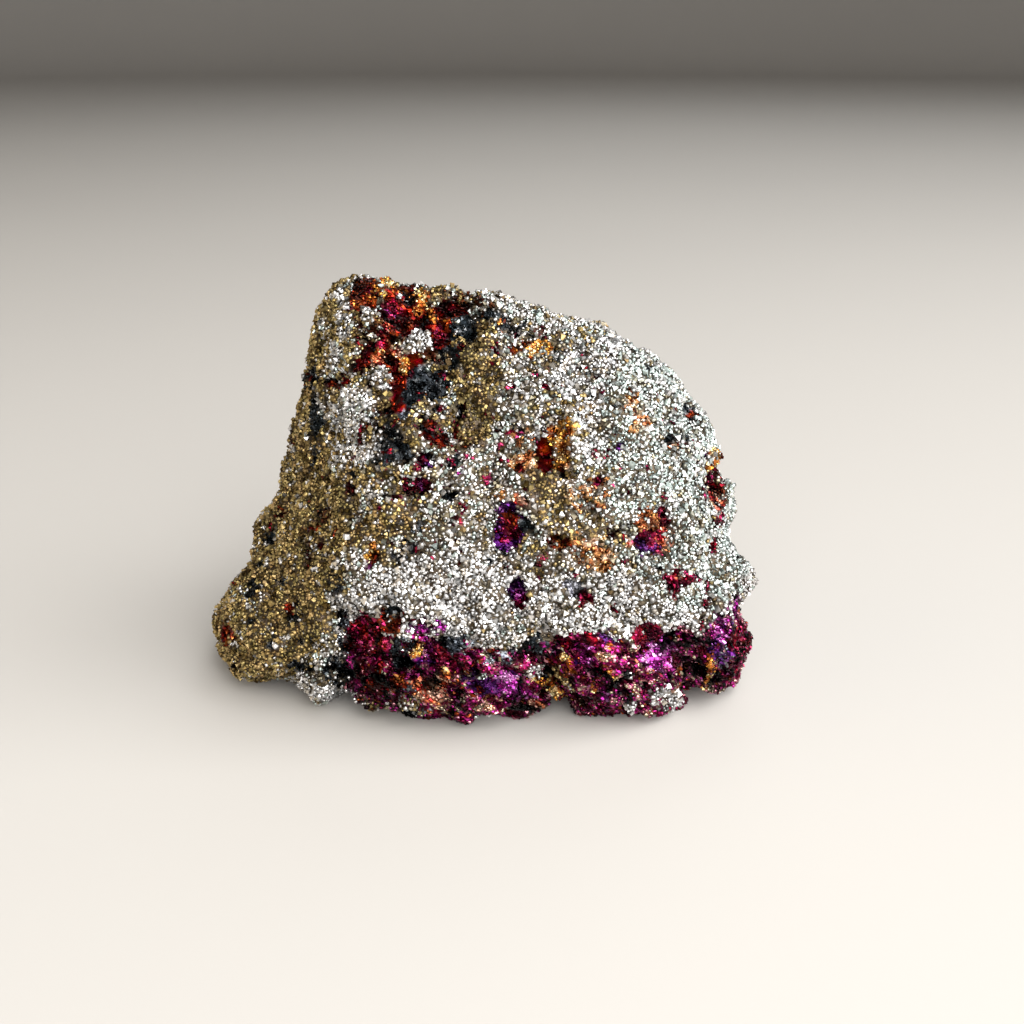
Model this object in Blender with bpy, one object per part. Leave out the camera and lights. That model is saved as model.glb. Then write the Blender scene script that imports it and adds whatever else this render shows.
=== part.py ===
"""Peacock ore: one lump of copper ore, about 60 mm wide.

A granular metallic crust covers most of the lump. It ends in a thick broken edge above a band of
bare, blocky, iridescent ore, and it is open in many small pits where the same ore shows.
The stone grew as one piece, so it is one solid.

Row frame: metres, +Z up, the stone stands on z = 0, and its box is centred on the Z axis.
The photograph looks along +Y and VIEW_ELEVATION degrees down. Lengths below are in millimetres.
"""

import math

import bpy
import numpy as np
from mathutils import Matrix, Vector, noise

MM = 0.001
NAME = "peacock_ore"

# The view that the outline and the marks are measured in. u runs right and v up in its picture
# plane, from the point where the middle of the stone's base shows.
VIEW_ELEVATION = 20.0
VIEW_DISTANCE = 160.0
AIM = np.array((3.2, 0.0, 18.9))
LOWEST_V = -5.5

# Broken faces of the lump: azimuth (0 faces the viewer, positive to the right), elevation, and
# distance from the stone's middle.
MIDDLE = np.array((0.0, 1.0, 21.0))
EDGE_SHARPNESS = 15.0
BROKEN_FACES = (
    (0, -90, 22.2),
    (4, 6, 18.5),
    (6, 40, 19.5),
    (-50, 10, 19.0),
    (-78, -22, 27.0),
    (-100, 22, 25.0),
    (46, 14, 24.0),
    (84, 4, 28.5),
    (66, 44, 27.0),
    (-60, 72, 26.5),
    (35, 66, 25.0),
    (178, 44, 19.5),
    (166, 4, 19.0),
    (-142, 16, 22.5),
    (128, -8, 24.0),
    (132, 40, 23.5),
    (10, -48, 25.0),
    (-150, -45, 25.5),
)

# The stone's outline in the view: u, and height above the lowest point, going left over the top.
OUTLINE = (
    (-5.5, 0.0), (-9.5, 0.5), (-12.3, 1.6), (-17.0, 2.5), (-20.8, 3.4), (-23.0, 4.8),
    (-27.3, 5.2), (-29.0, 7.2), (-29.8, 9.6), (-29.6, 12.2), (-28.2, 15.0), (-26.6, 17.2),
    (-25.6, 21.4), (-23.4, 25.0), (-21.8, 29.8), (-20.4, 35.9), (-19.6, 41.3), (-18.2, 46.0),
    (-16.2, 48.7), (-13.2, 49.8), (-9.5, 49.0), (-5.0, 48.5), (-0.2, 47.8), (4.1, 46.7),
    (8.6, 45.2), (13.6, 43.9), (17.6, 41.6), (20.6, 39.2), (23.2, 36.2), (25.0, 33.2),
    (26.4, 29.5), (27.7, 24.6), (28.6, 19.5), (29.6, 16.3), (29.3, 13.2), (29.8, 9.4),
    (29.4, 6.4), (27.0, 4.0), (24.4, 3.2), (22.3, 1.7), (19.8, 0.2), (16.6, 0.6),
    (13.0, 0.6), (9.2, 1.3), (6.8, 0.8), (4.0, 0.2), (-0.5, 0.4),
)
# Sectors in which the lump's own rim is found, and how far in from it, as shares of the way out,
# the lump is stretched to meet the outline.
RIM_SECTORS = 240
RIM_REACH = (0.2, 0.97)

# Height of the crust's broken lower edge round the stone, by azimuth. Below it the ore is bare.
CRUST_EDGE = (
    (-180, 17.0), (-160, 11.0), (-140, 5.0), (-115, 1.0), (-90, 0.0), (-62, 0.0), (-48, 3.0),
    (-43, 14.0), (-34, 14.6), (-28, 12.2), (-18, 11.6), (-10, 10.0), (-4, 8.2), (6, 8.4),
    (14, 9.6), (24, 11.0), (33, 10.6), (42, 9.0), (47, 11.6), (56, 11.8), (64, 10.6),
    (74, 13.0), (90, 15.0), (108, 21.0), (126, 27.0), (145, 28.0), (162, 23.0), (180, 17.0),
)
CRUST_THICKNESS = 1.6

# Broad swells and hollows on the side that the view shows: u, v above the lowest point, half
# width, half height, turn in degrees, and height out of the surface.
SWELLS = (
    (-11.0, 28.0, 6.0, 11.0, 8, 1.3),
    (-22.5, 9.5, 5.5, 6.0, 20, 1.5),
    (8.0, 22.0, 11.0, 15.0, -15, 1.6),
    (21.0, 22.0, 6.0, 12.0, 10, 0.7),
    (-3.0, 36.0, 2.6, 10.0, 14, -2.1),
    (-16.5, 35.0, 1.0, 8.0, -6, -0.9),
    (-15.2, 9.5, 1.3, 4.5, 4, -1.6),
    (8.0, 3.0, 1.2, 4.5, 12, -1.9),
    (24.6, 6.0, 1.0, 4.0, -18, -1.5),
    (17.8, 8.0, 0.9, 2.6, 0, -0.8),
    (-9.0, 5.0, 4.5, 4.0, 0, 0.6),
    (0.5, 4.0, 5.0, 3.4, 0, 0.9),
    (14.5, 4.5, 5.0, 4.2, 0, 1.1),
    (27.0, 8.5, 2.4, 4.0, 0, 0.9),
)

# Openings in the crust where bare ore shows: u, v above the lowest point, half width, half
# height, turn in degrees, and depth.
PITS = (
    (-13.4, 48.0, 1.7, 2.0, 0, 0.8),
    (-8.8, 45.8, 2.7, 3.4, 10, 1.0),
    (-3.6, 45.9, 2.2, 2.9, 0, 0.9),
    (-10.2, 41.0, 2.9, 2.0, 10, 0.9),
    (-10.6, 36.6, 1.4, 2.6, -20, 0.8),
    (-6.1, 38.2, 2.9, 2.2, 35, 0.9),
    (-10.2, 31.8, 1.7, 2.0, -30, 0.7),
    (-2.0, 43.6, 1.7, 2.0, 0, 0.8),
    (7.4, 30.5, 1.7, 3.1, -14, 1.3),
    (2.8, 21.9, 2.2, 2.6, -10, 1.2),
    (3.7, 14.0, 1.2, 2.0, 12, 1.0),
    (19.3, 19.9, 2.2, 2.9, 20, 1.0),
    (-7.7, 26.3, 1.8, 1.2, 10, 0.8),
    (6.4, 41.4, 2.8, 1.4, 8, 0.6),
    (25.8, 25.8, 1.4, 4.0, -8, 0.8),
    (23.0, 34.2, 1.2, 1.8, -20, 0.8),
    (-25.4, 14.9, 1.0, 1.6, -25, 0.8),
    (-21.8, 12.0, 1.0, 1.4, 0, 0.8),
    (-28.4, 9.7, 1.0, 1.4, 0, 0.7),
    (-18.9, 38.4, 0.9, 1.6, 0, 0.7),
)

# Relief. CRUST_SWELL is the size and height of the crust's long waves, CRUST_KNOBS the spacing and
# height of its rounded knobs. Each of BARE_BLOCKS is a spacing, a tilt and a step in level: bare
# ore breaks into flat chips, longer along BLOCK_GRAIN. EDGE_WANDER and PIT_WANDER make the crust's
# edge and the rims of its openings ragged, by the size of a bend and how far it goes.
CRUST_SWELL = (9.0, 1.1)
CRUST_KNOBS = ((4.0, 0.5), (2.2, 0.32))
BARE_BLOCKS = ((5.2, 0.2, 0.6), (2.6, 0.18, 0.3))
BLOCK_SOFTNESS = 1
BLOCK_GRAIN = np.array((0.8, 0.1, -0.6))
GRAIN_STRETCH = 1.8
EDGE_WANDER = (3.2, 1.6)
PIT_WANDER = ((2.6, 1.0), (1.1, 0.45))

# The stone rests on a flat foot, and on what else reaches down to within BASE_LEVEL of z = 0.
FOOT = np.array((8.0, -1.0))
FOOT_RADIUS = 10.0
BASE_LEVEL = 0.08

STONE_AREA = 8600.0
BALL_SUBDIVISIONS = 7
TRIANGLES = 9600
SEED = 7


def direction(azimuth, elevation):
    """A unit vector. Azimuth 0 points at the viewer, along -Y, and 90 along +X."""
    a, e = math.radians(azimuth), math.radians(elevation)
    return np.array((math.sin(a) * math.cos(e), -math.cos(a) * math.cos(e), math.sin(e)))


RIGHT = direction(90, 0)
UP = direction(0, VIEW_ELEVATION + 90.0)
TOWARDS_VIEWER = direction(0, VIEW_ELEVATION)


def smooth_step(x, low, high):
    t = np.clip((x - low) / (high - low), 0.0, 1.0)
    return t * t * (3.0 - 2.0 * t)


def picture_place(points):
    """u, and v above the lowest point, of points in the view's picture plane."""
    away = points - AIM
    grow = VIEW_DISTANCE / (VIEW_DISTANCE - away @ TOWARDS_VIEWER)
    return (away @ RIGHT) * grow + AIM @ RIGHT, (away @ UP) * grow + AIM @ UP - LOWEST_V


def lump_radius(directions):
    """Distance from the middle to the broken faces, with their edges rounded."""
    normals = np.array([direction(a, e) for a, e, _ in BROKEN_FACES])
    reach = np.array([d for _, _, d in BROKEN_FACES])
    share = np.maximum(directions @ normals.T / reach, 0.0)
    return (share**EDGE_SHARPNESS).sum(axis=1) ** (-1.0 / EDGE_SHARPNESS)


def outline_radius(angles):
    """How far the outline is from the middle of the view, by angle in the picture plane."""
    corners = np.array(OUTLINE)
    ring = np.vstack((corners, corners[:1]))
    steps = np.linspace(0.0, 1.0, 12, endpoint=False)[:, None, None]
    points = (ring[:-1] + (ring[1:] - ring[:-1]) * steps).reshape(-1, 2) - outline_middle()
    around = np.arctan2(points[:, 1], points[:, 0])
    order = np.argsort(around)
    return np.interp(angles, around[order], np.hypot(*points.T)[order], period=2.0 * math.pi)


def outline_middle():
    u, v = picture_place(MIDDLE[None, :])
    return np.array((u[0], v[0]))


def fit_to_outline(points, soften):
    """Moves points across the view, most near the rim, until the stone's edge is the outline."""
    place = np.array(picture_place(points)).T - outline_middle()
    around = np.arctan2(place[:, 1], place[:, 0])
    out = np.hypot(place[:, 0], place[:, 1])
    sector = ((around + math.pi) / (2.0 * math.pi) * RIM_SECTORS).astype(int) % RIM_SECTORS
    rim = np.zeros(RIM_SECTORS)
    np.maximum.at(rim, sector, out)
    rim = np.mean([np.roll(rim, s) for s in range(-soften, soften + 1)], axis=0)
    centres = (np.arange(RIM_SECTORS) + 0.5) / RIM_SECTORS * 2.0 * math.pi - math.pi
    here = np.interp(around, centres, rim, period=2.0 * math.pi)
    stretch = (outline_radius(around) / here - 1.0) * smooth_step(out / here, *RIM_REACH)
    away = points - MIDDLE
    across = np.outer(away @ RIGHT, RIGHT) + np.outer(away @ UP, UP)
    return points + across * stretch[:, None]


def normals_of(points, faces):
    corner = points[faces]
    flat = np.cross(corner[:, 1] - corner[:, 0], corner[:, 2] - corner[:, 0])
    total = np.zeros_like(points)
    for i in range(3):
        np.add.at(total, faces[:, i], flat)
    return total / np.linalg.norm(total, axis=1)[:, None]


def relief(points, size, seed):
    """Smooth noise from about -1 to 1, with lumps of this size."""
    shift = Vector((seed * 17.3, seed * 9.1, seed * 5.7))
    return np.array([noise.noise(Vector(p) / size + shift) for p in points])


def cells(points, size, random):
    """The cell that each point lies in, and its offset from the cell's own middle."""
    count = int(STONE_AREA / size**2)
    seeds = points[random.choice(len(points), count, replace=False)]
    nearest = np.empty(len(points), int)
    for start in range(0, len(points), 4000):
        apart = points[start : start + 4000, None, :] - seeds[None, :, :]
        nearest[start : start + 4000] = (apart**2).sum(axis=2).argmin(axis=1)
    return nearest, points - seeds[nearest], count


def blocks(points, size, tilt, step, random):
    """Height of flat broken chips: each is a cell with its own tilt and its own level."""
    grain = BLOCK_GRAIN / np.linalg.norm(BLOCK_GRAIN)
    pressed = points - np.outer(points @ grain, grain) * (1.0 - 1.0 / GRAIN_STRETCH)
    nearest, offset, count = cells(pressed, size, random)
    slopes = random.normal(0.0, tilt, (count, 3))
    levels = random.uniform(-step, step, count)
    return (offset * slopes[nearest]).sum(axis=1) + levels[nearest]


def knobs(points, size, height, random):
    """Rounded knobs with creases between them."""
    _, offset, _ = cells(points, size, random)
    return height * (1.0 - 2.2 * (offset**2).sum(axis=1) / size**2)


def oval(u, v, mark):
    """1 in the middle of a mark of the view, 0.5 about on its rim and 0 well outside it."""
    mark_u, mark_v, half_width, half_height, turn = mark[:5]
    t = math.radians(turn)
    across = (u - mark_u) * math.cos(t) + (v - mark_v) * math.sin(t)
    along = -(u - mark_u) * math.sin(t) + (v - mark_v) * math.cos(t)
    reach = np.sqrt((across / half_width) ** 2 + (along / half_height) ** 2)
    return np.exp(-0.7 * reach**2), 1.0 - smooth_step(reach, 0.75, 1.25)


def above_crust_edge(points):
    """Height over the crust's lower edge, with the edge's own wander."""
    azimuth = np.degrees(np.arctan2(points[:, 0] - MIDDLE[0], -(points[:, 1] - MIDDLE[1])))
    edge = np.interp(azimuth, *np.array(CRUST_EDGE).T)
    size, far = EDGE_WANDER
    return points[:, 2] - edge + far * relief(points, size, 4)


def soften(height, faces, rounds):
    """Turns steps in the height into slopes, a few triangles wide."""
    pairs = np.vstack((faces[:, [0, 1]], faces[:, [1, 2]], faces[:, [2, 0]]))
    count = np.bincount(pairs[:, 0], minlength=len(height))
    for _ in range(rounds):
        height = np.bincount(pairs[:, 0], height[pairs[:, 1]], len(height)) / count
    return height


def bare_height(points, normals, faces, random):
    """Relief of the bare ore. The foot, under the stone's weight, stays low enough to be flat."""
    height = sum(blocks(points, *block, random) for block in BARE_BLOCKS)
    height = soften(height, faces, BLOCK_SOFTNESS)
    foot = smooth_step(np.hypot(*(points[:, :2] - FOOT).T), FOOT_RADIUS, 0.5 * FOOT_RADIUS)
    return np.where(normals[:, 2] < -0.6, np.maximum(height, 3.0 * foot - 2.0), height)


def surface_height(points, normals, faces, random):
    """How far each point of the surface stands out from the plain lump."""
    u, v = picture_place(points)
    facing = smooth_step(normals @ TOWARDS_VIEWER, -0.1, 0.25)
    height = np.zeros(len(points))
    for swell in SWELLS:
        height += swell[5] * oval(u, v, swell)[0] * facing
    crust = smooth_step(above_crust_edge(points), -0.45, 0.45)
    drift_u = sum(far * relief(points, size, 9) for size, far in PIT_WANDER)
    drift_v = sum(far * relief(points, size, 23) for size, far in PIT_WANDER)
    for pit in PITS:
        opening = oval(u + drift_u, v + drift_v, pit)[1]
        crust *= 1.0 - opening * facing * pit[5] / CRUST_THICKNESS
    size, rise = CRUST_SWELL
    lumps = rise * relief(points, size, 1)
    lumps += sum(knobs(points, *knob, random) for knob in CRUST_KNOBS)
    bare = bare_height(points, normals, faces, random)
    return height + crust * (CRUST_THICKNESS + lumps) + (1.0 - crust) * bare


def ball_mesh():
    """Points and triangles of a fine ball, which the stone is shaped from."""
    bpy.ops.mesh.primitive_ico_sphere_add(subdivisions=BALL_SUBDIVISIONS, radius=1.0)
    stone = bpy.context.object
    mesh = stone.data
    points = np.empty(len(mesh.vertices) * 3)
    mesh.vertices.foreach_get("co", points)
    faces = np.empty(len(mesh.polygons) * 3, np.int32)
    mesh.polygons.foreach_get("vertices", faces)
    return stone, points.reshape(-1, 3), faces.reshape(-1, 3)


def shape_stone():
    random = np.random.default_rng(SEED)
    stone, directions, faces = ball_mesh()
    directions /= np.linalg.norm(directions, axis=1)[:, None]
    points = MIDDLE + directions * (lump_radius(directions) - CRUST_THICKNESS)[:, None]
    points = fit_to_outline(points, 6)
    normals = normals_of(points, faces)
    points += normals * surface_height(points, normals, faces, random)[:, None]
    points = fit_to_outline(points, 4)
    points[:, 2] = np.maximum(points[:, 2], 0.0)
    stone.data.vertices.foreach_set("co", (points * MM).ravel())
    stone.data.update()
    stone.name = stone.data.name = NAME
    return stone


def thin_out(stone):
    """Fewer triangles: most stay where the surface turns, and the flat base keeps a few."""
    modifier = stone.modifiers.new("fewer_triangles", "DECIMATE")
    modifier.ratio = TRIANGLES / len(stone.data.polygons)
    bpy.context.view_layer.update()
    graph = bpy.context.evaluated_depsgraph_get()
    thin = bpy.data.meshes.new_from_object(stone.evaluated_get(graph))
    stone.modifiers.remove(modifier)
    stone.data = thin
    thin.name = NAME


def settle(stone):
    """Levels the stone's base on z = 0 and centres its box on the Z axis."""
    for vertex in stone.data.vertices:
        if vertex.co.z < BASE_LEVEL * MM:
            vertex.co.z = 0.0
    corners = np.array([vertex.co for vertex in stone.data.vertices])
    middle = (corners.min(axis=0) + corners.max(axis=0)) / 2
    stone.data.transform(Matrix.Translation((-middle[0], -middle[1], 0.0)))


def ore_material():
    material = bpy.data.materials.new("peacock_ore")
    material.use_nodes = True
    shader = material.node_tree.nodes["Principled BSDF"]
    shader.inputs["Base Color"].default_value = (0.42, 0.36, 0.27, 1.0)
    shader.inputs["Metallic"].default_value = 1.0
    shader.inputs["Roughness"].default_value = 0.35
    return material


def main():
    for old in list(bpy.data.objects):
        bpy.data.objects.remove(old)
    stone = shape_stone()
    thin_out(stone)
    settle(stone)
    stone.data.materials.clear()
    stone.data.materials.append(ore_material())
    stone.data.shade_smooth()
    collection = bpy.data.collections.new("Peacock ore")
    bpy.context.scene.collection.children.link(collection)
    for other in list(stone.users_collection):
        other.objects.unlink(stone)
    collection.objects.link(stone)


main()
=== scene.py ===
"""Peacock ore: the looks of one lump of iridescent copper ore, 61 mm wide.

The stone has three surfaces. A crust of fused metallic grains covers most of it. Bare ore, broken
into chips, shows in a band along the foot and in small openings all over, in red, crimson, magenta
and violet. Between them lie dark and steel-grey patches of finer crystals.
Each surface is a fine mesh of the stone's body with its grains or chips set into it.

Row frame: metres, +Z up. Lengths below are in millimetres unless a name says otherwise. Places on
the side that the photograph shows are given in its picture plane: u right and v up.
"""

import math

import bmesh
import bpy
import numpy as np
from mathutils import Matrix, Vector, noise
from mathutils.kdtree import KDTree


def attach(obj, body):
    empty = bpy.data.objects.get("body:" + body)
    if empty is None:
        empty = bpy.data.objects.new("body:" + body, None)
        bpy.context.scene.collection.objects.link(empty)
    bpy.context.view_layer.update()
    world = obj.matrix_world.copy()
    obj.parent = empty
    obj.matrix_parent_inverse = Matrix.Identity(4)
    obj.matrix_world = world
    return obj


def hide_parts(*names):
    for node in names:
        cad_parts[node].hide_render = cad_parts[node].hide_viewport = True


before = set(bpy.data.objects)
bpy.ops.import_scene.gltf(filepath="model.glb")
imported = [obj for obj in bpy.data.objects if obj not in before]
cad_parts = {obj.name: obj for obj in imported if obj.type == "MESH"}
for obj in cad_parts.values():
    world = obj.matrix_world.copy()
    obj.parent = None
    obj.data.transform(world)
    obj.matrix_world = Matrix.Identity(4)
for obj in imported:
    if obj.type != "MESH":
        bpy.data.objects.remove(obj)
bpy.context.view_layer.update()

MM = 0.001
SEED = 11
NODE = "peacock_ore"

# The camera: it looks along +Y and down, at AIM, with a 50 mm lens.
VIEW_ELEVATION = 20.0
VIEW_DISTANCE = 160.0
AIM = np.array((3.8, 0.0, 18.6))
LENS = 50.0

# Base colours of the metals and minerals, linear. Each mineral has colours and their shares.
SILVER = (0.90, 0.87, 0.84)
# BRASS is partly the crust's own tint and partly painted shade: warmer, to stand for the warm dim light
# on faces turned from the key light.
BRASS = (0.60, 0.45, 0.20)
KHAKI = (0.27, 0.19, 0.09)
# The body's colour between the crust's grains: dark, as painted shade in the gaps.
GAP_SHADE = (0.085, 0.066, 0.045)
MINERALS = {
    "crust": ((0.18, (0.72, 0.81, 0.76)), (0.62, SILVER), (0.12, (0.55, 0.48, 0.34)), (0.08, KHAKI)),
    "brassy": ((0.07, SILVER), (0.50, BRASS), (0.28, (0.46, 0.33, 0.13)), (0.15, (0.14, 0.09, 0.03))),
    "silver": ((0.88, (0.96, 0.95, 0.94)), (0.12, (0.76, 0.69, 0.60))),
    # The frost tint is partly painted reflection: whiter and mint where the right side turns to the key
    # light.
    "frost": ((0.5, (0.78, 0.87, 0.83)), (0.4, (0.90, 0.92, 0.89)), (0.1, (0.55, 0.54, 0.44))),
    "umber": ((0.45, (0.05, 0.012, 0.006)), (0.35, (0.16, 0.05, 0.02)), (0.2, (0.46, 0.32, 0.13))),
    "red": ((0.50, (0.04, 0.001, 0.001)), (0.40, (0.15, 0.004, 0.003)), (0.10, (0.40, 0.03, 0.008))),
    "facet": ((1.0, (0.22, 0.006, 0.002)),),
    "ember": ((0.42, (0.10, 0.010, 0.003)), (0.45, (0.38, 0.045, 0.008)), (0.13, (0.80, 0.24, 0.05))),
    "copper": ((0.30, (0.18, 0.05, 0.012)), (0.42, (0.70, 0.30, 0.11)), (0.28, (0.92, 0.67, 0.44))),
    "gold": ((0.27, (0.30, 0.06, 0.01)), (0.43, (0.88, 0.38, 0.07)), (0.30, (0.94, 0.72, 0.34))),
    "coral": ((0.14, (0.34, 0.02, 0.015)), (0.4, (0.94, 0.25, 0.12)), (0.46, (1.0, 0.58, 0.40))),
    "crimson": ((0.38, (0.07, 0.002, 0.008)), (0.40, (0.31, 0.007, 0.035)), (0.22, (0.64, 0.05, 0.17))),
    "magenta": ((0.28, (0.16, 0.005, 0.10)), (0.38, (0.68, 0.04, 0.46)), (0.34, (0.97, 0.30, 0.86))),
    "orchid": ((0.2, (0.30, 0.01, 0.20)), (0.4, (0.88, 0.11, 0.72)), (0.4, (0.98, 0.42, 0.88))),
    "violet": ((0.42, (0.04, 0.006, 0.07)), (0.36, (0.15, 0.02, 0.22)), (0.22, (0.44, 0.13, 0.50))),
    "wine": (
        (0.31, (0.06, 0.002, 0.012)), (0.26, (0.24, 0.006, 0.06)), (0.19, (0.58, 0.03, 0.28)),
        (0.06, (0.48, 0.10, 0.02)), (0.12, (0.95, 0.38, 0.46)), (0.06, (0.68, 0.58, 0.40)),
    ),
    "slate": ((0.62, (0.016, 0.021, 0.025)), (0.28, (0.06, 0.07, 0.08)), (0.1, (0.24, 0.25, 0.26))),
    "steel": ((0.4, (0.12, 0.14, 0.17)), (0.4, (0.36, 0.40, 0.46)), (0.2, (0.68, 0.70, 0.72))),
    "black": ((0.85, (0.012, 0.012, 0.014)), (0.15, (0.6, 0.6, 0.6))),
    "lavender": ((1.0, (0.80, 0.80, 0.90)),),
}
NAMES = tuple(MINERALS)

# How a place that was read in a zoomed part of the photograph is turned into u and v: the
# photograph's middle in pixels and in u and v, and the size of its pixels. Each zoomed part has its
# left and top edge, its zoom and the smallest half width that a patch can have in it.
MIDDLE_PIXEL = 512.0
MIDDLE_PLACE = (3.8, 17.48)
PIXEL = 0.1125
WIDE = (200.0, 250.0, 2.8, 0.3)
NEAR = (300.0, 260.0, 7.127, 0.25)


def zoomed(part, mineral, across, down, half_width, half_height, turn, share):
    """A patch's row in u and v, to a tenth of a millimetre, from pixels of a zoomed part."""
    left, top, zoom, least = part
    u = MIDDLE_PLACE[0] + (left + across / zoom - MIDDLE_PIXEL) * PIXEL
    v = MIDDLE_PLACE[1] + (MIDDLE_PIXEL - top - down / zoom) * PIXEL
    wide = max(half_width / zoom * PIXEL, least)
    high = max(half_height / zoom * PIXEL, least)
    return mineral, round(u, 1), round(v, 1), round(wide, 1), round(high, 1), turn, share


# Patches of the left face, in pixels of the wide zoomed part, otherwise like the rows of PATCHES.
LEFT_FACE_MARKS = (
    ("slate", 318, 350, 20, 24, 0, 1),
    ("slate", 322, 480, 11, 110, 3, 0.9),
    ("red", 255, 525, 16, 24, 0, 0.9),
    ("ember", 293, 355, 10, 24, 0, 0.8),
    ("slate", 425, 625, 16, 16, 0, 0.9),
    ("red", 425, 665, 16, 16, 0, 0.6),
    ("ember", 228, 735, 14, 18, 0, 0.9),
    ("red", 198, 770, 16, 16, 0, 0.9),
    ("slate", 197, 812, 15, 22, 0, 1),
    ("slate", 150, 940, 18, 40, -20, 1),
    ("slate", 168, 885, 18, 14, 0, 0.9),
    ("slate", 225, 928, 12, 14, 0, 0.9),
    ("ember", 288, 912, 14, 14, 0, 0.8),
    ("ember", 255, 1000, 16, 24, 0, 1),
    ("slate", 262, 1035, 18, 18, 0, 0.9),
    ("slate", 278, 995, 14, 12, 0, 0.8),
    ("ember", 97, 935, 14, 18, 0, 0.8),
    ("ember", 76, 1075, 20, 34, 5, 0.9),
    ("red", 110, 1160, 14, 20, 0, 0.6),
    ("slate", 205, 1095, 13, 26, -15, 1),
    ("slate", 150, 1035, 10, 14, 0, 0.8),
    ("slate", 285, 1165, 42, 20, -12, 0.9),
    ("slate", 375, 1160, 34, 26, 10, 0.9),
    ("slate", 395, 1190, 40, 24, 20, 0.8),
    ("steel", 405, 1070, 20, 80, 4, 0.9),
    ("slate", 405, 1064, 20, 70, 4, 0.5),
    ("slate", 378, 935, 28, 40, 15, 0.8),
    ("steel", 380, 970, 14, 20, 0, 0.8),
    ("silver", 360, 1235, 90, 22, -14, 0.8),
    ("slate", 300, 1090, 14, 10, 0, 0.8),
)

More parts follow.
